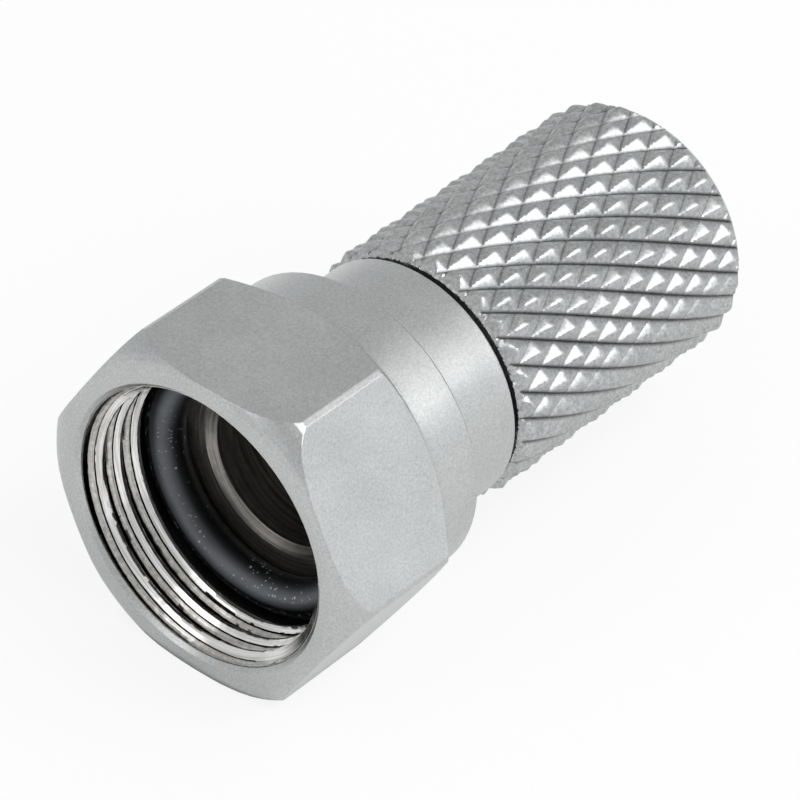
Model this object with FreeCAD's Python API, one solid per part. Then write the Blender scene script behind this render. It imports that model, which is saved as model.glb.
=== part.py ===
import FreeCAD, Part
import math
import os

# A twist-on F connector for coaxial cable. Millimetres, +Z up.
# The origin is the centre of the nut's front face. +X runs along the connector's axis
# to the end where the cable goes in. One flat of the hex faces straight down.

# Thread of the port, 3/8-32: outer diameter of the thread, and how far it runs into the nut
THREAD_D = 9.56
THREAD_LENGTH = 2.3
MOUTH_CHAMFER = 0.15

# Relief behind the thread, for the seal and the flange
RELIEF_DEPTH = 0.17
PORT_DEPTH = 3.85

# Outside of the coupling nut: hex, collar and neck. The hex comes out 11 mm across flats.
# Its front is crowned in a few cones, which follow an arc above the straight line of one cone.
HEX_WALL = 0.55
HEX_LENGTH = 5.3
HEX_CORNER_CUT = 0.06
FRONT_FACE_INSET = 0.25
FRONT_CONE_DEG = 40.0
FRONT_CROWN_RISE = 0.21
FRONT_CROWN_STEPS = 7
REAR_CONE_DEG = 40.0
COLLAR_WALL = 0.25
COLLAR_LENGTH = 1.87
NECK_WALL = 0.69
NECK_LENGTH = 3.07
SHOULDER_CHAMFER = 0.3
NUT_EDGE_CHAMFER = 0.12

# Bore for the cable's jacket in the sleeve
CABLE_BORE_D = 7.4
CABLE_CHAMFER = 0.25

# Flanged ferrule: its flange holds the nut, and its tube is pressed into the sleeve
FERRULE_STEP = 0.25
FERRULE_WALL = 0.7
FERRULE_LEAD = 0.25
PRESS_LENGTH = 3.0
FLANGE_LENGTH = 1.15
FLANGE_CHAMFER = 0.12

# Seal ring in front of the flange
SEAL_SECTION_D = 1.3

# Knurled sleeve: wall under the grooves, and the crossing grooves themselves
SLEEVE_LENGTH = 11.3
SLEEVE_WALL = 0.48
KNURL_DEPTH = 0.27
KNURL_SPACING = 1.0
KNURL_ANGLE_DEG = 30.0
KNURL_OFFSET = 0.39
END_CONE_DEPTH = 0.08
END_CONE_LENGTH = 0.4

# Clearances, each on one side
TURNING_GAP = 0.05
FLANGE_PLAY = 0.1
FLANGE_CLEARANCE = 0.25
SEAL_CLEARANCE = 0.25
NUT_SLEEVE_GAP = 0.16

# Diameters that follow from the sizes above
MOUTH_D = THREAD_D + 2 * MOUTH_CHAMFER
RELIEF_D = THREAD_D + 2 * RELIEF_DEPTH
HEX_AF = RELIEF_D + 2 * HEX_WALL
HEX_CORNER_D = HEX_AF / math.cos(math.pi / 6) - 2 * HEX_CORNER_CUT
FRONT_FACE_D = HEX_AF - 2 * FRONT_FACE_INSET
COLLAR_D = RELIEF_D + 2 * COLLAR_WALL
FLANGE_D = RELIEF_D - 2 * FLANGE_CLEARANCE
SEAL_RING_D = RELIEF_D - 2 * SEAL_CLEARANCE - SEAL_SECTION_D
FERRULE_D = CABLE_BORE_D - 2 * FERRULE_STEP
FERRULE_BORE_D = FERRULE_D - 2 * FERRULE_WALL
NECK_BORE_D = FERRULE_D + 2 * TURNING_GAP
NECK_D = NECK_BORE_D + 2 * NECK_WALL
CABLE_MOUTH_D = CABLE_BORE_D + 2 * CABLE_CHAMFER
VALLEY_D = CABLE_BORE_D + 2 * SLEEVE_WALL
KNURL_D = VALLEY_D + 2 * KNURL_DEPTH
END_CONE_D = VALLEY_D - 2 * END_CONE_DEPTH

# Places along X that follow from the sizes above
COLLAR_END = HEX_LENGTH + COLLAR_LENGTH
NUT_LENGTH = COLLAR_END + NECK_LENGTH
FLANGE_REAR = PORT_DEPTH + FLANGE_LENGTH
NUT_SHOULDER = FLANGE_REAR + FLANGE_PLAY
SLEEVE_FRONT = NUT_LENGTH + NUT_SLEEVE_GAP
FERRULE_REAR = SLEEVE_FRONT + PRESS_LENGTH
SLEEVE_REAR = SLEEVE_FRONT + SLEEVE_LENGTH


def cone_run(large_d, small_d, degrees):
    """Axial length of a cone between two diameters, at an angle from the end face."""
    return (large_d - small_d) / 2 * math.tan(math.radians(degrees))


def broken_corner(before, corner, after, size):
    """The two corners that a small chamfer leaves in place of one corner of a section."""
    return [corner + (neighbour - corner).normalize() * size for neighbour in (before, after)]


def crown(start, end, rise, steps):
    """Section points between two others, (x, diameter), on an arc above their straight line."""
    run = end[0] - start[0]
    height = (end[1] - start[1]) / 2
    chord = math.hypot(run, height)
    radius = chord * chord / (8 * rise) + rise / 2
    half_angle = math.asin(chord / (2 * radius))
    points = []
    for step in range(1, steps):
        angle = half_angle * (2 * step / steps - 1)
        along = chord / 2 + radius * math.sin(angle)
        above = radius * (math.cos(angle) - math.cos(half_angle))
        x = start[0] + (run * along - height * above) / chord
        diameter = start[1] + 2 * (height * along + run * above) / chord
        points.append((x, diameter))
    return points


def turned(section):
    """Solid of revolution about X. The section lists (x, diameter) or (x, diameter, chamfer)."""
    corners = [FreeCAD.Vector(point[0], 0, point[1] / 2) for point in section]
    outline = []
    for i, corner in enumerate(corners):
        if len(section[i]) == 3:
            outline += broken_corner(corners[i - 1], corner, corners[(i + 1) % len(corners)], section[i][2])
        else:
            outline.append(corner)
    face = Part.Face(Part.makePolygon(outline + outline[:1]))
    return face.revolve(FreeCAD.Vector(0, 0, 0), FreeCAD.Vector(1, 0, 0), 360)


def around(x, diameter, angle):
    """Point at a distance along X, on a circle about it. Angle 0 is straight up."""
    return FreeCAD.Vector(x, diameter / 2 * math.sin(angle), diameter / 2 * math.cos(angle))


def hex_bar(across_flats, length):
    """Hex bar along X with a flat at the bottom."""
    corner_d = across_flats / math.cos(math.pi / 6)
    corners = [around(0, corner_d, (i + 0.5) * math.pi / 3) for i in range(6)]
    face = Part.Face(Part.makePolygon(corners + corners[:1]))
    return face.extrude(FreeCAD.Vector(length, 0, 0))


def make_coupling_nut():
    front_run = cone_run(HEX_CORNER_D, FRONT_FACE_D, FRONT_CONE_DEG)
    rear_run = cone_run(HEX_CORNER_D, COLLAR_D, REAR_CONE_DEG)
    face_edge = (0, FRONT_FACE_D)
    crown_end = (front_run, HEX_CORNER_D)
    turned_bar = turned([
        (0, MOUTH_D),
        face_edge,
        *crown(face_edge, crown_end, FRONT_CROWN_RISE, FRONT_CROWN_STEPS),
        crown_end,
        (HEX_LENGTH - rear_run, HEX_CORNER_D),
        (HEX_LENGTH, COLLAR_D),
        (COLLAR_END, COLLAR_D, NUT_EDGE_CHAMFER),
        (COLLAR_END, NECK_D, SHOULDER_CHAMFER),
        (NUT_LENGTH, NECK_D, NUT_EDGE_CHAMFER),
        (NUT_LENGTH, NECK_BORE_D),
        (NUT_SHOULDER, NECK_BORE_D),
        (NUT_SHOULDER, RELIEF_D),
        (THREAD_LENGTH, RELIEF_D),
        (THREAD_LENGTH, THREAD_D),
        (MOUTH_CHAMFER, THREAD_D),
    ])
    return turned_bar.common(hex_bar(HEX_AF, NUT_LENGTH))


def make_flanged_ferrule():
    return turned([
        (PORT_DEPTH, FERRULE_BORE_D, FERRULE_LEAD),
        (PORT_DEPTH, FLANGE_D, FLANGE_CHAMFER),
        (FLANGE_REAR, FLANGE_D, FLANGE_CHAMFER),
        (FLANGE_REAR, FERRULE_D),
        (FERRULE_REAR, FERRULE_D),
        (FERRULE_REAR, FERRULE_BORE_D),
    ])


def make_seal_ring():
    """Ring of round section whose back touches the flange."""
    centre = FreeCAD.Vector(PORT_DEPTH - SEAL_SECTION_D / 2, 0, 0)
    return Part.makeTorus(SEAL_RING_D / 2, SEAL_SECTION_D / 2, centre, FreeCAD.Vector(1, 0, 0))


def knurled_bar(start, end):
    """Bar covered with four-sided pyramids, as two sets of crossing helical grooves leave it.

    The grooves cross on rings that are half a groove spacing apart along X. On each ring the
    crossings, at the grooves' depth, alternate with the pyramids' tops.
    """
    starts = round(math.pi * KNURL_D / KNURL_SPACING)
    half_turn = math.pi / starts
    ring_step = half_turn * KNURL_D / 2 / math.tan(math.radians(KNURL_ANGLE_DEG))
    first = start + KNURL_OFFSET - 2 * ring_step
    ring_count = math.ceil((end - first) / ring_step) + 1

    def crossing(ring, place):
        return around(first + ring * ring_step, VALLEY_D, place * half_turn)

    def facet(*points):
        return Part.Face(Part.makePolygon(list(points) + [points[0]]))

    facets = []
    for ring in range(ring_count + 1):
        rim = []
        for pair in range(starts):
            place = 2 * pair + ring % 2
            top = around(first + ring * ring_step, KNURL_D, place * half_turn)
            left = crossing(ring, place - 1)
            right = crossing(ring, place + 1)
            rim += [left, top]
            if ring > 0:
                front = crossing(ring - 1, place)
                facets += [facet(top, front, left), facet(top, right, front)]
            if ring < ring_count:
                back = crossing(ring + 1, place)
                facets += [facet(top, left, back), facet(top, back, right)]
        if ring in (0, ring_count):
            facets.append(facet(*rim))
    shell = Part.makeShell(facets)
    shell.sewShape()
    bar = Part.makeSolid(shell)
    if bar.Volume < 0:
        bar.reverse()
    return bar


def make_knurled_sleeve():
    envelope_d = KNURL_D + 2 * KNURL_DEPTH
    envelope_run = END_CONE_LENGTH * (envelope_d - END_CONE_D) / (KNURL_D - END_CONE_D)
    envelope = turned([
        (SLEEVE_FRONT, FERRULE_D),
        (SLEEVE_FRONT, END_CONE_D),
        (SLEEVE_FRONT + envelope_run, envelope_d),
        (SLEEVE_REAR - envelope_run, envelope_d),
        (SLEEVE_REAR, END_CONE_D),
        (SLEEVE_REAR, CABLE_MOUTH_D),
        (SLEEVE_REAR - CABLE_CHAMFER, CABLE_BORE_D),
        (FERRULE_REAR, CABLE_BORE_D),
        (FERRULE_REAR, FERRULE_D),
    ])
    return envelope.common(knurled_bar(SLEEVE_FRONT, SLEEVE_REAR))


def main():
    nodes = {
        "coupling_nut": make_coupling_nut(),
        "flanged_ferrule": make_flanged_ferrule(),
        "o_ring": make_seal_ring(),
        "knurled_sleeve": make_knurled_sleeve(),
    }
    os.makedirs("parts", exist_ok=True)
    for name, shape in nodes.items():
        solid = shape.Solids[0]
        assert len(shape.Solids) == 1 and solid.isValid() and solid.isClosed(), name
        solid.exportStep("parts/" + name + ".step")
        print(name, round(solid.Volume, 1), "mm3,", len(solid.Faces), "faces, box", solid.BoundBox)


main()
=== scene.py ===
import math

import bmesh
import bpy
from mathutils import Matrix, Vector
from mathutils import noise as field


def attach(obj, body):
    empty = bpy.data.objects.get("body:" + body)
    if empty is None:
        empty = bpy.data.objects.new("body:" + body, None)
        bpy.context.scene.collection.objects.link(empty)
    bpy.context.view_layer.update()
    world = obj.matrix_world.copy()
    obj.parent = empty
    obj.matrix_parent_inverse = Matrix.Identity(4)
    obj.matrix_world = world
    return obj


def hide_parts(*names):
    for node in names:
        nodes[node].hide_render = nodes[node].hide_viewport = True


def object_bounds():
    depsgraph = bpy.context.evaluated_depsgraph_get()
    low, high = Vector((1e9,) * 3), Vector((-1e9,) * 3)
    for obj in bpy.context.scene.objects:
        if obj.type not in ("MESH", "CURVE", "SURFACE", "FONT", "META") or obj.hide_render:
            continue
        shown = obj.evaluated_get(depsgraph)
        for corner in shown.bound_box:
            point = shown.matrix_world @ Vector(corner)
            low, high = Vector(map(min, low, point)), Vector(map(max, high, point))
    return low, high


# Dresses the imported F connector: plated metal, rubber, the fine threads, and a photo studio.
# Metres throughout, except where a name ends in MM. X runs along the connector's axis.

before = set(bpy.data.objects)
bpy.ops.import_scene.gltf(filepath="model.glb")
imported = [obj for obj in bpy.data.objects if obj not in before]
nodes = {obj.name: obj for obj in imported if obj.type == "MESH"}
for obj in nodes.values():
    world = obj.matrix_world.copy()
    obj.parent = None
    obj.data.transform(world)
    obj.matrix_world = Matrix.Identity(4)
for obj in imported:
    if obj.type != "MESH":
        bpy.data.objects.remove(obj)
cad_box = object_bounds()

MM = 0.001

# Thread for the port, inside the nut. Its lead is a cone of 45 degrees, and the lead's radius is
# the one at the nut's front face.
THREAD_PITCH_MM = 0.79375
THREAD_CREST_R_MM = 4.40
THREAD_ROOT_R_MM = 4.75
THREAD_BACK_R_MM = 4.80
THREAD_FRONT_X_MM = 0.17
THREAD_REAR_X_MM = 2.42
THREAD_LEAD_R_MM = 4.93
THREAD_RUNOUT_MM = 0.12
THREAD_TEAR_MM = 0.022
# Least painted light on the lead's cone
LEAD_PAINTED_LIGHT = 0.5

# One turn of the port thread, its shape as the tap left it: share of the pitch from a crest's
# middle, depth below the crest (0 to 1), and painted light (0 dark, 1 bright), which is painted
# shade in the root, on the flank that faces away from the mouth and in the score, and painted
# highlight on the crest and on the flank that faces the mouth. A score runs along the flank that
# faces the mouth.
PORT_PROFILE = [
    (0.00, 0.00, 1.00),
    (0.07, 0.02, 0.80),
    (0.11, 0.12, 0.00),
    (0.36, 1.00, 0.00),
    (0.52, 1.00, 0.00),
    (0.56, 0.94, 0.48),
    (0.64, 0.74, 0.58),
    (0.72, 0.56, 0.50),
    (0.73, 0.70, 0.00),
    (0.76, 0.66, 0.00),
    (0.77, 0.46, 0.90),
    (0.85, 0.24, 1.00),
    (0.93, 0.02, 1.00),
]

# Where the port thread runs out farthest to the rear, as a share of a turn from the top
RUNOUT_TURN = -0.22

# Tears of a cut thread: noise steps in one turn and in one pitch, and the short ones' share
LONG_TEAR_STEPS = (14, 9)
SHORT_TEAR_STEPS = (110, 14)
SHORT_TEAR_SHARE = 0.6

# Coarse thread in the sleeve, which bites into the cable's jacket
JACKET_PITCH_MM = 1.5
JACKET_CREST_R_MM = 3.38
JACKET_ROOT_R_MM = 3.67
JACKET_BACK_R_MM = 3.75
JACKET_FRONT_X_MM = 13.9
JACKET_REAR_X_MM = 21.3
JACKET_PROFILE = [
    (0.00, 0.0, 0.9),
    (0.06, 0.0, 0.9),
    (0.20, 0.5, 0.6),
    (0.35, 1.0, 0.4),
    (0.50, 1.0, 0.4),
    (0.65, 1.0, 0.4),
    (0.80, 0.5, 0.6),
    (0.94, 0.0, 0.9),
]

# Points in one turn of each thread
PORT_COLUMNS = 360
JACKET_COLUMNS = 192

# Knurled sleeve: it stands for the faceted solid, with the same grooves and tops, rounded over
SLEEVE_FRONT_X_MM = 10.4
SLEEVE_REAR_X_MM = 21.7
SLEEVE_VALLEY_R_MM = 4.18
SLEEVE_TOP_R_MM = 4.45
SLEEVE_END_R_MM = 4.10
SLEEVE_END_CONE_MM = 0.4
SLEEVE_BORE_R_MM = 3.7
SLEEVE_MOUTH_R_MM = 3.95
SLEEVE_MOUTH_CHAMFER_MM = 0.25
FERRULE_R_MM = 3.45
FERRULE_REAR_X_MM = 13.4
KNURL_STARTS = 28
KNURL_ANGLE_DEG = 30.0
KNURL_OFFSET_MM = 0.39
KNURL_STEPS = 12
KNURL_SECOND_DEPTH = 0.85
KNURL_CROWN = 0.35
KNURL_RIDGE_ROUND = 0.16

# The sleeve's plain turned places count as this height of the knurl, above the grooves' painted
# shade. Its front rim is ragged by a burr, where that height drops and swings, so that the rim
# takes spots of the grooves' painted shade. The burr's noise goes on by the first step in half a
# column and by the second in a row.
SLEEVE_PLAIN_HEIGHT = 0.8
SLEEVE_BURR_MM = 0.08
BURR_DROP = 0.25
BURR_SWING = 1.2
BURR_STEPS = (0.45, 0.7)

# Points of a new mesh that are closer than the first are joined, and edges shorter than the
# second go. Edges between faces that turn by more than the angle stay sharp.
JOIN_MM = 0.0005
SHORTEST_EDGE_MM = 0.0002
SHARP_DEG = 28.0

# A noise value spreads over this range, and seldom leaves it
NOISE_RANGE = (0.3, 0.7)

# Nickel plate: clouds and specks of tone, grain and rings. Scales are in cycles a metre. Rings
# are darker by as much as they are turned, and paler by this share of it.
CLOUD_SCALE = 450
SPECKLE_SHARE = 0.75
SPECKLE_ROUGHNESS = 0.7
GRAIN_SCALE = 5000
RING_TONE_SCALE = 14000
RING_PALE_SHARE = 0.5
RING_RELIEF_SCALE = 9000
RING_DRIFT = 0.05

# Painted shade darkens the knurl's grooves below this height, down to this share of the colour
GROOVE_DARK_BELOW = 0.27
GROOVE_SHARE = 0.2

# Painted shade in the ferrule, darker towards the bottom, fades out from this far below the axis
# to this far above
BOTTOM_SHADE_REACH_MM = 2.8

# Sharp edges of the nut look rounded by about this radius, which varies along them
EDGE_ROUND_MM = 0.07
EDGE_ROUND_RANGE = (0.3, 1.5)
EDGE_WEAR_SCALE = 1500

# Painted shade darkens the nut's inner corners: how far it reaches, the range of openness over
# which it fades, and the share of the colour left in the deepest corner
CORNER_SHADE_MM = 0.35
CORNER_OPEN_RANGE = (0.5, 0.92)
CORNER_SHARE = 0.45

# Rays for each look-up of an edge or a corner
LOOK_UP_SAMPLES = 8

# Tones of the tapped thread, from painted shade (0) to painted highlight (1), its tears and its
# streaks
TAPPED_TONES = [
    (0.00, (0.012, 0.011, 0.010)),
    (0.24, (0.02, 0.018, 0.016)),
    (0.32, (0.34, 0.33, 0.31)),
    (0.55, (0.62, 0.61, 0.59)),
    (0.75, (0.96, 0.96, 0.95)),
]
TAPPED_TEAR = 0.12
TAPPED_TEAR_SCALE = 5200
TAPPED_ROUGHNESS = (0.14, 0.24)
TAPPED_ROUGHNESS_SCALE = 1200
STREAK_TONE = (0.55, 0.54, 0.52)
STREAK_TONE_SCALE = 12000
STREAK_RELIEF_SCALE = 7000
STREAK_DEPTH_MM = 0.006

# Seal ring: black rubber in clouds, with a painted highlight at a radius, which fades out to each
# side, and dust in patches. Each cell of the dust has a speck, and its size is a random share of
# the spread, less the threshold.
RUBBER_BLACK = (0.0012, 0.0012, 0.0015)
RUBBER_PAINTED_HIGHLIGHT = (0.15, 0.162, 0.18)
RUBBER_CLOUDS = (0.75, 1.1)
RUBBER_CLOUD_SCALE = 900
RUBBER_ROUGHNESS = (0.34, 0.42)
RUBBER_GRAIN_MM = 0.003
RUBBER_GRAIN_SCALE = 6000
PAINTED_HIGHLIGHT_R_MM = 3.78
PAINTED_HIGHLIGHT_REACH_MM = 0.42
DUST_COLOUR = (0.50, 0.52, 0.55)
DUST_SCALE = 8000.0
DUST_SPREAD = 0.62
DUST_THRESHOLD = 0.20
DUST_SOFTNESS = 0.12
DUST_PATCHES = (-0.5, 1.5)
DUST_PATCH_SCALE = 560

# The camera stands where the photograph was taken from
CAMERA_AT_MM = (-89.87, -74.10, 100.58)
CAMERA_AIM_MM = (9.31, -0.27, -0.20)
CAMERA_ROLL_DEG = 5.29
CAMERA_LENS = 230.4
CAMERA_SENSOR = 36.0
CAMERA_CLIP = (0.01, 10)

# Floor: the shares of plain white that are seen straight and in a reflection
FLOOR_HALF = 1.5
FLOOR_COLOUR = (0.9, 0.9, 0.9)
FLOOR_ROUGHNESS = 0.9
FLOOR_WHITE_SEEN = 0.85
FLOOR_WHITE_REFLECTED = 0.40

# Radiance of the surrounding light at the horizon and from this height of the sky upwards
WORLD_LOW = (0.70, 0.71, 0.73)
WORLD_HIGH = (0.66, 0.665, 0.66)
WORLD_HIGH_FROM = 0.6

# Soft boxes: direction from the aim, distance and sides in millimetres, and radiance, which is
# how bright the box looks in a mirror, with white as 1
LAMP_AIM_MM = (8, 0, 0)
LAMPS = [
    ("key", (0.20, -0.62, 0.72), 240, (170, 200), 2.95),
    ("right", (0.62, -0.7, 0.22), 260, (200, 130), 0.35),
    ("front_left", (-0.9, 0.35, 0.5), 260, (120, 120), 1.2),
]


def new_material(name):
    material = bpy.data.materials.new(name)
    material.use_nodes = True
    tree = material.node_tree
    shader = next(n for n in tree.nodes if n.type == "BSDF_PRINCIPLED")
    return material, tree, shader


def add_node(tree, kind, **values):
    """Node of a kind. Values name its inputs or, failing that, its own settings."""
    node = tree.nodes.new(kind)
    for key, value in values.items():
        label = key.replace("_", " ")
        socket = next((s for s in node.inputs if s.name.lower() == label.lower()), None)
        if socket is not None:
            socket.default_value = value
        else:
            setattr(node, key, value)
    return node


def compute(tree, operation, *values, **settings):
    """Result of a math operation on sockets and plain numbers."""
    node = add_node(tree, "ShaderNodeMath", operation=operation, **settings)
    for socket, value in zip(node.inputs, values):
        if isinstance(value, bpy.types.NodeSocket):
            tree.links.new(value, socket)
        else:
            socket.default_value = value
    return node.outputs[0]


def map_range(tree, value, source, target=(0.0, 1.0), **settings):
    """A value carried from one range of numbers to another, and held at its ends."""
    node = add_node(tree, "ShaderNodeMapRange", **settings)
    node.inputs["From Min"].default_value = source[0]
    node.inputs["From Max"].default_value = source[1]
    node.inputs["To Min"].default_value = target[0]
    node.inputs["To Max"].default_value = target[1]
    tree.links.new(value, node.inputs["Value"])
    return node.outputs["Result"]


def spread(tree, value, low, high):
    """A noise value spread over a range of numbers."""
    return map_range(tree, value, NOISE_RANGE, (low, high))


def mix_values(tree, share, first, second):
    """Mean of two values. The share is the second one's."""
    node = add_node(tree, "ShaderNodeMix", data_type="FLOAT")
    node.inputs["Factor"].default_value = share
    tree.links.new(first, node.inputs["A"])
    tree.links.new(second, node.inputs["B"])
    return node.outputs["Result"]


def mix_colours(tree, factor, low, high):
    """Colour between two tones, driven by a 0 to 1 value."""
    ramp = add_node(tree, "ShaderNodeValToRGB")
    ramp.color_ramp.elements[0].color = (*low, 1)
    ramp.color_ramp.elements[1].color = (*high, 1)
    tree.links.new(factor, ramp.inputs["Fac"])
    return ramp.outputs["Color"]


def colour_sockets(sockets):
    return [socket for socket in sockets if socket.type == "RGBA"]


def multiply(tree, colour, value):
    """Colour multiplied by a number or another colour."""
    paint = add_node(tree, "ShaderNodeMix", data_type="RGBA", blend_type="MULTIPLY")
    paint.inputs["Factor"].default_value = 1.0
    first, second = colour_sockets(paint.inputs)
    tree.links.new(colour, first)
    tree.links.new(value, second)
    return colour_sockets(paint.outputs)[0]


def noise(tree, scale, detail=4.0, roughness=0.55):
    """Noise in object space, in cycles a metre."""
    place = add_node(tree, "ShaderNodeTexCoord")
    texture = add_node(tree, "ShaderNodeTexNoise", scale=scale, detail=detail, roughness=roughness)
    tree.links.new(place.outputs["Object"], texture.inputs["Vector"])
    return texture.outputs["Fac"]


def axis_distance(tree, place):
    """Distance of each point from the X axis."""
    across = add_node(tree, "ShaderNodeVectorMath", operation="MULTIPLY")
    across.inputs[1].default_value = (0, 1, 1)
    length = add_node(tree, "ShaderNodeVectorMath", operation="LENGTH")
    tree.links.new(place.outputs["Object"], across.inputs[0])
    tree.links.new(across.outputs["Vector"], length.inputs[0])
    return length.outputs["Value"]


def turning_marks(tree, scale):
    """Noise in fine rings about the X axis, on faces across it as well as along it."""
    place = add_node(tree, "ShaderNodeTexCoord")
    split = add_node(tree, "ShaderNodeSeparateXYZ")
    joined = add_node(tree, "ShaderNodeCombineXYZ")
    texture = add_node(tree, "ShaderNodeTexNoise", scale=scale, detail=3.0)
    tree.links.new(place.outputs["Object"], split.inputs[0])
    tree.links.new(split.outputs["X"], joined.inputs["X"])
    tree.links.new(axis_distance(tree, place), joined.inputs["Y"])
    tree.links.new(compute(tree, "MULTIPLY", split.outputs["Z"], RING_DRIFT), joined.inputs["Z"])
    tree.links.new(joined.outputs[0], texture.inputs["Vector"])
    return texture.outputs["Fac"]


def add_bump(tree, shader, height, depth):
    bump = add_node(tree, "ShaderNodeBump")
    bump.inputs["Strength"].default_value = 1.0
    bump.inputs["Distance"].default_value = depth
    tree.links.new(height, bump.inputs["Height"])
    tree.links.new(bump.outputs["Normal"], shader.inputs["Normal"])


def nickel(name, dark, light, roughness, metallic=1.0, speckle_scale=4200, grain_depth=0.0,
           turned=0.0, groove=None, bottom_shade=None, edge=0.0, painted_corner_shade=0.0):
    """Nickel plate: two close tones in clouds and specks, with uneven gloss.

    Roughness is a range. It stays on one side of 0.275, because the render's denoiser draws
    contour lines where a surface crosses that. Grain_depth is the depth of a fine grain in the
    surface. Turned, 0 to 1, mixes in fine rings about the axis. Groove names a height attribute,
    0 in the grooves, where a painted shade makes the plate darker. Bottom_shade is the colour's
    share left at the very bottom, a painted shade that grows darker towards the bottom. Edge is
    the radius by which sharp edges look rounded, and stands in place of the grain.
    Painted_corner_shade is how far a painted shade reaches out of the inner corners.
    """
    material, tree, shader = new_material(name)
    shader.inputs["Metallic"].default_value = metallic
    clouds = noise(tree, CLOUD_SCALE, detail=2)
    speckle = noise(tree, speckle_scale, detail=2, roughness=SPECKLE_ROUGHNESS)
    tone = mix_values(tree, SPECKLE_SHARE, clouds, speckle)
    colour = mix_colours(tree, spread(tree, tone, 0.0, 1.0), dark, light)
    # Painted shade in the grooves
    if groove:
        height = add_node(tree, "ShaderNodeAttribute", attribute_name=groove)
        source, target = (0.0, GROOVE_DARK_BELOW), (GROOVE_SHARE, 1.0)
        colour = multiply(tree, colour, map_range(tree, height.outputs["Fac"], source, target))
    if turned:
        marks = turning_marks(tree, RING_TONE_SCALE)
        rings = spread(tree, marks, 1 - turned, 1 + RING_PALE_SHARE * turned)
        colour = multiply(tree, colour, rings)
    # Painted shade, darker towards the bottom
    if bottom_shade:
        place = add_node(tree, "ShaderNodeTexCoord")
        split = add_node(tree, "ShaderNodeSeparateXYZ")
        tree.links.new(place.outputs["Object"], split.inputs[0])
        source = (-BOTTOM_SHADE_REACH_MM * MM, BOTTOM_SHADE_REACH_MM * MM)
        colour = multiply(tree, colour, map_range(tree, split.outputs["Z"], source, (bottom_shade, 1.0)))
    # Painted shade in the inner corners, darker where a point is less open
    if painted_corner_shade:
        openness = add_node(tree, "ShaderNodeAmbientOcclusion", samples=LOOK_UP_SAMPLES,
                            distance=painted_corner_shade)
        target = (CORNER_SHARE, 1.0)
        unmarked = map_range(tree, openness.outputs["AO"], CORNER_OPEN_RANGE, target)
        colour = multiply(tree, colour, unmarked)
    tree.links.new(colour, shader.inputs["Base Color"])
    tree.links.new(spread(tree, clouds, *roughness), shader.inputs["Roughness"])
    if edge:
        rounded = add_node(tree, "ShaderNodeBevel", samples=LOOK_UP_SAMPLES)
        low, high = (share * edge for share in EDGE_ROUND_RANGE)
        radius = spread(tree, noise(tree, EDGE_WEAR_SCALE), low, high)
        tree.links.new(radius, rounded.inputs["Radius"])
        tree.links.new(rounded.outputs["Normal"], shader.inputs["Normal"])
    else:
        grain = noise(tree, GRAIN_SCALE, detail=3)
        if turned:
            grain = mix_values(tree, turned, grain, turning_marks(tree, RING_RELIEF_SCALE))
        add_bump(tree, shader, grain, grain_depth)
    return material


def tapped_nickel():
    """Plate on the tapped thread: painted highlight on crests, painted shade in roots, and random
    tears.
    """
    material, tree, shader = new_material("tapped_nickel")
    shader.inputs["Metallic"].default_value = 1.0
    # The height attribute holds painted light and shade for the thread
    painted_light = add_node(tree, "ShaderNodeAttribute", attribute_name="height")
    tears = noise(tree, TAPPED_TEAR_SCALE, detail=4, roughness=0.75)
    torn = spread(tree, tears, -TAPPED_TEAR, TAPPED_TEAR)
    ramp = add_node(tree, "ShaderNodeValToRGB")
    while len(ramp.color_ramp.elements) < len(TAPPED_TONES):
        ramp.color_ramp.elements.new(0.5)
    for element, (position, colour) in zip(ramp.color_ramp.elements, TAPPED_TONES):
        element.position = position
        element.color = (*colour, 1)
    tree.links.new(compute(tree, "ADD", painted_light.outputs["Fac"], torn), ramp.inputs["Fac"])
    marks = spread(tree, turning_marks(tree, STREAK_TONE_SCALE), 0.0, 1.0)
    streaks = mix_colours(tree, marks, STREAK_TONE, (1, 1, 1))
    tree.links.new(multiply(tree, ramp.outputs["Color"], streaks), shader.inputs["Base Color"])
    gloss = spread(tree, noise(tree, TAPPED_ROUGHNESS_SCALE), *TAPPED_ROUGHNESS)
    tree.links.new(gloss, shader.inputs["Roughness"])
    add_bump(tree, shader, turning_marks(tree, STREAK_RELIEF_SCALE), STREAK_DEPTH_MM * MM)
    return material


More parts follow.
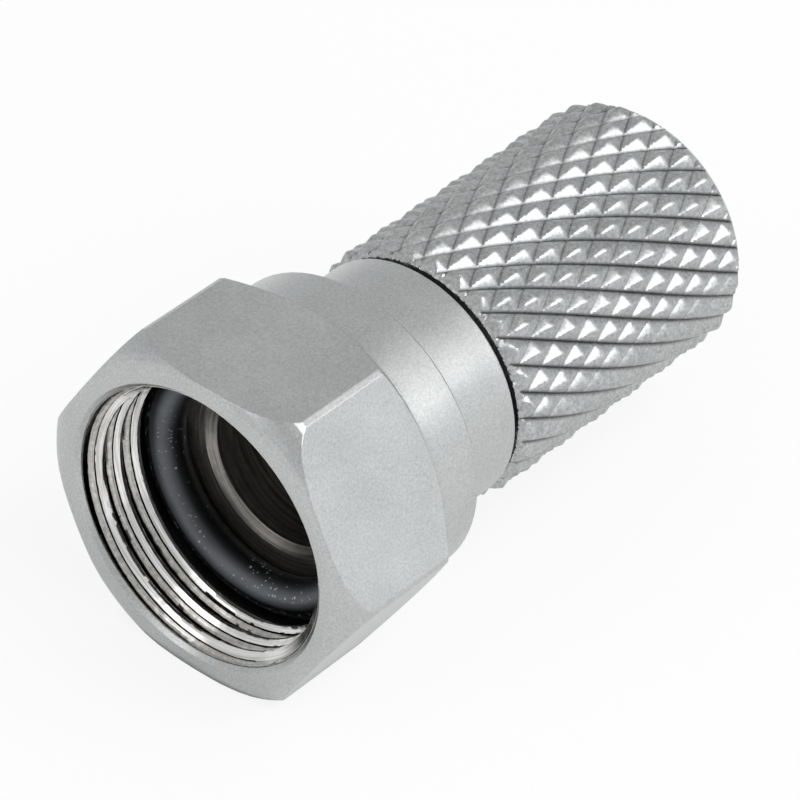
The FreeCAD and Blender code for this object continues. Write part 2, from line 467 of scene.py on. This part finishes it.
def rubber():
    """Black rubber, with a painted highlight in a ring where it faces the mouth, and specks of
    dust.
    """
    material, tree, shader = new_material("black_rubber")
    shader.inputs["Specular IOR Level"].default_value = 0.5
    clouds = noise(tree, RUBBER_CLOUD_SCALE)
    place = add_node(tree, "ShaderNodeTexCoord")
    # Painted highlight: a paler ring at a radius, fading out to each side
    offset = compute(tree, "SUBTRACT", axis_distance(tree, place), PAINTED_HIGHLIGHT_R_MM * MM)
    painted_highlight = map_range(tree, compute(tree, "ABSOLUTE", offset), (PAINTED_HIGHLIGHT_REACH_MM * MM, 0.0),
                      interpolation_type="SMOOTHSTEP")
    base = mix_colours(tree, painted_highlight, RUBBER_BLACK, RUBBER_PAINTED_HIGHLIGHT)
    base = multiply(tree, base, spread(tree, clouds, *RUBBER_CLOUDS))

    cells = add_node(tree, "ShaderNodeTexVoronoi", scale=DUST_SCALE)
    tree.links.new(place.outputs["Object"], cells.inputs["Vector"])
    chance = add_node(tree, "ShaderNodeSeparateColor")
    tree.links.new(cells.outputs["Color"], chance.inputs["Color"])
    size = compute(tree, "MULTIPLY_ADD", chance.outputs["Red"], DUST_SPREAD, -DUST_THRESHOLD)
    inside = compute(tree, "SUBTRACT", size, cells.outputs["Distance"])
    specks = map_range(tree, inside, (0.0, DUST_SOFTNESS))
    patches = spread(tree, noise(tree, DUST_PATCH_SCALE, detail=3), *DUST_PATCHES)
    dust = compute(tree, "MULTIPLY", specks, patches, use_clamp=True)

    paint = add_node(tree, "ShaderNodeMix", data_type="RGBA")
    unmarked, dusty = colour_sockets(paint.inputs)
    dusty.default_value = (*DUST_COLOUR, 1)
    tree.links.new(dust, paint.inputs["Factor"])
    tree.links.new(base, unmarked)
    tree.links.new(colour_sockets(paint.outputs)[0], shader.inputs["Base Color"])
    tree.links.new(spread(tree, clouds, *RUBBER_ROUGHNESS), shader.inputs["Roughness"])
    add_bump(tree, shader, noise(tree, RUBBER_GRAIN_SCALE), RUBBER_GRAIN_MM * MM)
    return material


def give(obj, material):
    obj.data.materials.clear()
    obj.data.materials.append(material)


def clean_mesh(mesh):
    """Joins points that fell together, drops faces with no area and turns the rest outward."""
    work = bmesh.new()
    work.from_mesh(mesh)
    bmesh.ops.remove_doubles(work, verts=work.verts, dist=JOIN_MM * MM)
    bmesh.ops.dissolve_degenerate(work, dist=SHORTEST_EDGE_MM * MM, edges=work.edges)
    bmesh.ops.recalc_face_normals(work, faces=work.faces)
    work.to_mesh(mesh)
    work.free()


def new_piece(name, points, faces, heights):
    """Mesh piece with a height at each point, 0 in a groove and 1 on top, which its material turns
    into painted shade and light.
    """
    mesh = bpy.data.meshes.new(name)
    mesh.from_pydata(points, [], faces)
    mesh.attributes.new("height", "FLOAT", "POINT").data.foreach_set("value", heights)
    piece = bpy.data.objects.new(name, mesh)
    bpy.context.scene.collection.objects.link(piece)
    clean_mesh(mesh)
    mesh.set_sharp_from_angle(angle=math.radians(SHARP_DEG))
    return piece


def around(x, radius, turn):
    """Point on a circle about the X axis. Sizes are in millimetres, and turn 0 is straight up."""
    angle = turn * math.tau
    return Vector((x, radius * math.sin(angle), radius * math.cos(angle))) * MM


def profile_at(profile, place):
    """Depth and painted light of a thread's profile at a place counted in pitches."""
    share = place % 1.0
    corners = profile + [(1.0, *profile[0][1:])]
    for low, high in zip(corners, corners[1:]):
        if share <= high[0]:
            blend = (share - low[0]) / (high[0] - low[0])
            return tuple(a + (b - a) * blend for a, b in zip(low[1:], high[1:]))


def tear_at(turn, place):
    """Unevenness of a cut thread, about -1 to 1, at a turn and at a place counted in pitches."""
    long_tear = field.noise(Vector((turn * LONG_TEAR_STEPS[0], place * LONG_TEAR_STEPS[1], 0)))
    short_tear = field.noise(Vector((turn * SHORT_TEAR_STEPS[0], place * SHORT_TEAR_STEPS[1], 5)))
    return long_tear + SHORT_TEAR_SHARE * short_tear


def make_thread(name, front, rear, pitch, crest_r, root_r, back_r, lead_r, profile, columns,
                runout=0.0, tear=0.0):
    """Right-handed inside thread as a closed sleeve.

    Its rows of points follow the helix, so crests stay sharp. Lead_r is the radius of the lead's
    cone at the front. The last turn runs out past the rear by up to the runout, on the side
    where RUNOUT_TURN is. Tear is how rough the cut is, and columns the points in one turn.
    """
    turns = math.ceil((rear + runout - front) / pitch + 1)
    rows = turns * len(profile)
    points, heights = [], []

    def rear_at(turn):
        return rear + runout * (0.5 + 0.5 * math.cos((turn - RUNOUT_TURN) * math.tau)) ** 2

    for row in range(rows):
        whole, index = divmod(row, len(profile))
        share = profile[index][0]
        for column in range(columns):
            turn = column / columns
            free_x = front + (whole + share - 1 + turn) * pitch
            x = min(max(free_x, front), rear_at(turn))
            place = (x - front) / pitch + 1 - turn
            if x != free_x:
                depth, painted_light = profile_at(profile, place)
            else:
                depth, painted_light = profile[index][1:]
            radius = crest_r + (root_r - crest_r) * depth + tear * tear_at(turn, place)
            # The lead's cone is painted at least as light as the lead's share
            lead = lead_r - (x - front)
            if lead > radius:
                radius = lead
                painted_light = max(painted_light, LEAD_PAINTED_LIGHT)
            points.append(around(x, min(radius, root_r), -turn))
            heights.append(painted_light)
    front_back = len(points)
    rear_back = front_back + columns
    for at_rear in (False, True):
        for column in range(columns):
            turn = column / columns
            points.append(around(rear_at(turn) if at_rear else front, back_r, -turn))
            heights.append(0.0)

    def at(row, column):
        """Point of a row. Past the last column it goes on a pitch farther along."""
        if column == columns:
            row, column = min(row + len(profile), rows - 1), 0
        return row * columns + column

    faces = []
    last = (rows - 1) * columns
    for column in range(columns):
        following = (column + 1) % columns
        for row in range(rows - 1):
            near = (at(row, column), at(row + 1, column))
            far = (at(row + 1, column + 1), at(row, column + 1))
            faces.append(near + far)
        here, there = front_back + column, front_back + following
        rear_here, rear_there = rear_back + column, rear_back + following
        faces.append((here, at(0, column), following, there))
        faces.append((rear_there, last + following, last + column, rear_here))
        faces.append((there, rear_there, rear_here, here))
    return new_piece(name, points, faces, heights)


def soft_minimum(a, b, blend):
    """The smaller of two values, with the corner between them rounded over a blend width."""
    h = max(blend - abs(a - b), 0.0) / blend
    return min(a, b) - h * h * blend / 4


def knurl_height(a, b):
    """Height of the knurl, 0 in a groove and 1 on a top.

    Grooves lie where a or b is a whole number, and those of a are the shallower ones.
    """
    heights = []
    for value, depth in ((a, KNURL_SECOND_DEPTH), (b, 1.0)):
        slope = 1 - 2 * abs(value % 1.0 - 0.5)
        crowned = slope * (1 + KNURL_CROWN * (1 - slope))
        heights.append(1 - depth * (1 - crowned))
    top = 1 - KNURL_RIDGE_ROUND / 4
    return min(soft_minimum(*heights, KNURL_RIDGE_ROUND) / top, 1.0)


def slanting_faces(low, rows, columns):
    """Faces between rows that stand half a step apart in turn, odd ones farther on."""
    faces = []
    for index in range(rows):
        here = index * columns
        for i in range(columns):
            left, right = here + i, here + (i + 1) % columns
            middle = i if (low + index) % 2 == 0 else (i + 1) % columns
            before = here - columns + middle
            after = here + columns + middle
            if index == 0:
                faces.append((left, right, after))
            elif index == rows - 1:
                faces.append((left, before, right))
            else:
                faces.append((left, before, right, after))
    return faces


def make_knurled_shell():
    """The sleeve's visible mesh. Rows of points stand across the axis, and the lines that join
    them slantwise follow both sets of grooves, so the grooves stay sharp."""
    half_turn = math.pi / KNURL_STARTS
    ring_step = half_turn * SLEEVE_TOP_R_MM / math.tan(math.radians(KNURL_ANGLE_DEG))
    first = SLEEVE_FRONT_X_MM + KNURL_OFFSET_MM
    low = math.floor((SLEEVE_FRONT_X_MM - first) / ring_step * KNURL_STEPS)
    high = math.ceil((SLEEVE_REAR_X_MM - first) / ring_step * KNURL_STEPS)
    rows = high - low + 1
    columns = KNURL_STARTS * KNURL_STEPS
    end_slope = (SLEEVE_TOP_R_MM - SLEEVE_END_R_MM) / SLEEVE_END_CONE_MM
    points, heights = [], []

    for row in range(low, high + 1):
        x = first + row / KNURL_STEPS * ring_step
        x = min(max(x, SLEEVE_FRONT_X_MM), SLEEVE_REAR_X_MM)
        from_end = min(x - SLEEVE_FRONT_X_MM, SLEEVE_REAR_X_MM - x)
        torn = max(1 - (x - SLEEVE_FRONT_X_MM) / SLEEVE_END_CONE_MM, 0.0)
        for i in range(columns):
            place = 2 * i + row % 2
            a = (place - row) / KNURL_STEPS / 2 + 0.5
            b = (place + row) / KNURL_STEPS / 2 + 0.5
            height = knurl_height(a, b)
            radius = SLEEVE_VALLEY_R_MM + (SLEEVE_TOP_R_MM - SLEEVE_VALLEY_R_MM) * height
            burr = field.noise(Vector((place * BURR_STEPS[0], row * BURR_STEPS[1], 3)))
            end_r = SLEEVE_END_R_MM + end_slope * from_end + SLEEVE_BURR_MM * torn * burr
            if radius >= end_r:
                radius = end_r
                height = SLEEVE_PLAIN_HEIGHT - torn * (BURR_DROP - BURR_SWING * burr)
            points.append(around(x, radius, place / (2 * columns)))
            heights.append(height)
    faces = slanting_faces(low, rows, columns)

    inside = [
        (SLEEVE_REAR_X_MM, SLEEVE_MOUTH_R_MM),
        (SLEEVE_REAR_X_MM - SLEEVE_MOUTH_CHAMFER_MM, SLEEVE_BORE_R_MM),
        (FERRULE_REAR_X_MM, SLEEVE_BORE_R_MM),
        (FERRULE_REAR_X_MM, FERRULE_R_MM),
        (SLEEVE_FRONT_X_MM, FERRULE_R_MM),
    ]
    row_starts = [(rows - 1) * columns]
    for x, radius in inside:
        row_starts.append(len(points))
        for i in range(columns):
            points.append(around(x, radius, (2 * i + high % 2) / (2 * columns)))
            heights.append(SLEEVE_PLAIN_HEIGHT)
    for start, end in zip(row_starts, row_starts[1:]):
        for i in range(columns):
            j = (i + 1) % columns
            faces.append((start + i, end + i, end + j, start + j))

    # The rows inside stand in line with the last row outside. Where the first row outside doesn't,
    # they join its points half a step behind.
    last = row_starts[-1]
    shift = 1 if low % 2 > high % 2 else 0
    for i in range(columns):
        j = (i + 1) % columns
        faces.append((last + i, (i - shift) % columns, (j - shift) % columns, last + j))
    return new_piece("knurled_shell", points, faces, heights)


def make_port_thread():
    return make_thread(
        "port_thread",
        front=THREAD_FRONT_X_MM,
        rear=THREAD_REAR_X_MM,
        pitch=THREAD_PITCH_MM,
        crest_r=THREAD_CREST_R_MM,
        root_r=THREAD_ROOT_R_MM,
        back_r=THREAD_BACK_R_MM,
        lead_r=THREAD_LEAD_R_MM - THREAD_FRONT_X_MM,
        profile=PORT_PROFILE,
        columns=PORT_COLUMNS,
        runout=THREAD_RUNOUT_MM,
        tear=THREAD_TEAR_MM,
    )


def make_jacket_thread():
    return make_thread(
        "jacket_thread",
        front=JACKET_FRONT_X_MM,
        rear=JACKET_REAR_X_MM,
        pitch=JACKET_PITCH_MM,
        crest_r=JACKET_CREST_R_MM,
        root_r=JACKET_ROOT_R_MM,
        back_r=JACKET_BACK_R_MM,
        lead_r=JACKET_ROOT_R_MM,
        profile=JACKET_PROFILE,
        columns=JACKET_COLUMNS,
    )


def make_floor():
    """Pale floor. Seen straight or in metal it is partly plain white. The rest takes the shadow."""
    mesh = bpy.data.meshes.new("floor")
    z = cad_box[0][2]
    corners = [(-1, -1), (1, -1), (1, 1), (-1, 1)]
    points = [(x * FLOOR_HALF, y * FLOOR_HALF, z) for x, y in corners]
    mesh.from_pydata(points, [], [(0, 1, 2, 3)])
    floor = bpy.data.objects.new("floor", mesh)
    bpy.context.scene.collection.objects.link(floor)

    material, tree, shader = new_material("floor_white")
    shader.inputs["Base Color"].default_value = (*FLOOR_COLOUR, 1)
    shader.inputs["Roughness"].default_value = FLOOR_ROUGHNESS
    glow = add_node(tree, "ShaderNodeEmission", strength=1.0)
    path = add_node(tree, "ShaderNodeLightPath")
    reflected = compute(tree, "MAXIMUM", path.outputs["Is Glossy Ray"],
                        path.outputs["Is Transmission Ray"])
    seen_share = compute(tree, "MULTIPLY", path.outputs["Is Camera Ray"], FLOOR_WHITE_SEEN)
    reflected_share = compute(tree, "MULTIPLY", reflected, FLOOR_WHITE_REFLECTED)
    white = compute(tree, "MAXIMUM", seen_share, reflected_share)
    mix = add_node(tree, "ShaderNodeMixShader")
    tree.links.new(white, mix.inputs["Fac"])
    tree.links.new(shader.outputs[0], mix.inputs[1])
    tree.links.new(glow.outputs[0], mix.inputs[2])
    out = next(n for n in tree.nodes if n.type == "OUTPUT_MATERIAL")
    tree.links.new(mix.outputs[0], out.inputs["Surface"])
    give(floor, material)


def make_world():
    """Soft surrounding light, a little paler low down than overhead."""
    world = bpy.data.worlds.new("studio")
    bpy.context.scene.world = world
    world.use_nodes = True
    tree = world.node_tree
    background = next(n for n in tree.nodes if n.type == "BACKGROUND")
    place = add_node(tree, "ShaderNodeTexCoord")
    split = add_node(tree, "ShaderNodeSeparateXYZ")
    tree.links.new(place.outputs["Generated"], split.inputs[0])
    shade = add_node(tree, "ShaderNodeValToRGB")
    low, high = shade.color_ramp.elements
    low.color = (*WORLD_LOW, 1)
    high.color = (*WORLD_HIGH, 1)
    high.position = WORLD_HIGH_FROM
    tree.links.new(split.outputs["Z"], shade.inputs["Fac"])
    tree.links.new(shade.outputs["Color"], background.inputs["Color"])
    background.inputs["Strength"].default_value = 1.0


def make_lamp(name, direction, distance_mm, sides_mm, radiance):
    """Square or oblong soft box that faces the part."""
    data = bpy.data.lights.new(name, "AREA")
    data.shape = "RECTANGLE"
    data.size, data.size_y = (side * MM for side in sides_mm)
    data.energy = radiance * math.pi * data.size * data.size_y
    lamp = bpy.data.objects.new(name, data)
    bpy.context.scene.collection.objects.link(lamp)
    aim = Vector(LAMP_AIM_MM) * MM
    lamp.location = aim + Vector(direction).normalized() * distance_mm * MM
    lamp.rotation_euler = (aim - lamp.location).to_track_quat("-Z", "Y").to_euler()


def make_camera():
    data = bpy.data.cameras.new("camera")
    data.lens = CAMERA_LENS
    data.sensor_width = CAMERA_SENSOR
    data.clip_start, data.clip_end = CAMERA_CLIP
    camera = bpy.data.objects.new("camera", data)
    bpy.context.scene.collection.objects.link(camera)
    at = Vector(CAMERA_AT_MM) * MM
    look = (Vector(CAMERA_AIM_MM) * MM - at).to_track_quat("-Z", "Y").to_matrix().to_4x4()
    roll = Matrix.Rotation(math.radians(CAMERA_ROLL_DEG), 4, "Z")
    camera.matrix_world = Matrix.Translation(at) @ look @ roll
    bpy.context.scene.camera = camera


# The nut's plate, with painted shade in its inner corners
satin_nickel = nickel(
    "satin_nickel",
    dark=(0.415, 0.425, 0.425),
    light=(0.61, 0.62, 0.618),
    roughness=(0.285, 0.36),
    speckle_scale=13000,
    edge=EDGE_ROUND_MM * MM,
    painted_corner_shade=CORNER_SHADE_MM * MM,
)
# The ferrule's plate, with painted shade darker towards the bottom
turned_nickel = nickel(
    "turned_nickel",
    dark=(0.50, 0.465, 0.43),
    light=(0.66, 0.63, 0.59),
    roughness=(0.28, 0.38),
    metallic=0.85,
    grain_depth=0.003 * MM,
    turned=0.6,
    bottom_shade=0.35,
)
give(nodes["coupling_nut"], satin_nickel)
give(nodes["flanged_ferrule"], turned_nickel)
give(nodes["o_ring"], rubber())

knurled_shell = make_knurled_shell()
# The knurl's plate, with painted shade in its grooves
rolled_nickel = nickel(
    "rolled_nickel",
    dark=(0.295, 0.305, 0.308),
    light=(0.60, 0.61, 0.61),
    roughness=(0.33, 0.42),
    speckle_scale=9000,
    grain_depth=0.0016 * MM,
    groove="height",
)
give(knurled_shell, rolled_nickel)
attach(knurled_shell, "barrel")
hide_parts("knurled_sleeve")

port_thread = make_port_thread()
give(port_thread, tapped_nickel())
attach(port_thread, "nut")

jacket_thread = make_jacket_thread()
jacket_thread_nickel = nickel(
    "jacket_thread_nickel",
    dark=(0.42, 0.41, 0.39),
    light=(0.56, 0.55, 0.53),
    roughness=(0.18, 0.265),
    grain_depth=0.002 * MM,
    turned=0.5,
)
give(jacket_thread, jacket_thread_nickel)
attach(jacket_thread, "barrel")

make_floor()
make_world()
for lamp in LAMPS:
    make_lamp(*lamp)
make_camera()

bpy.context.scene.view_settings.view_transform = "Standard"
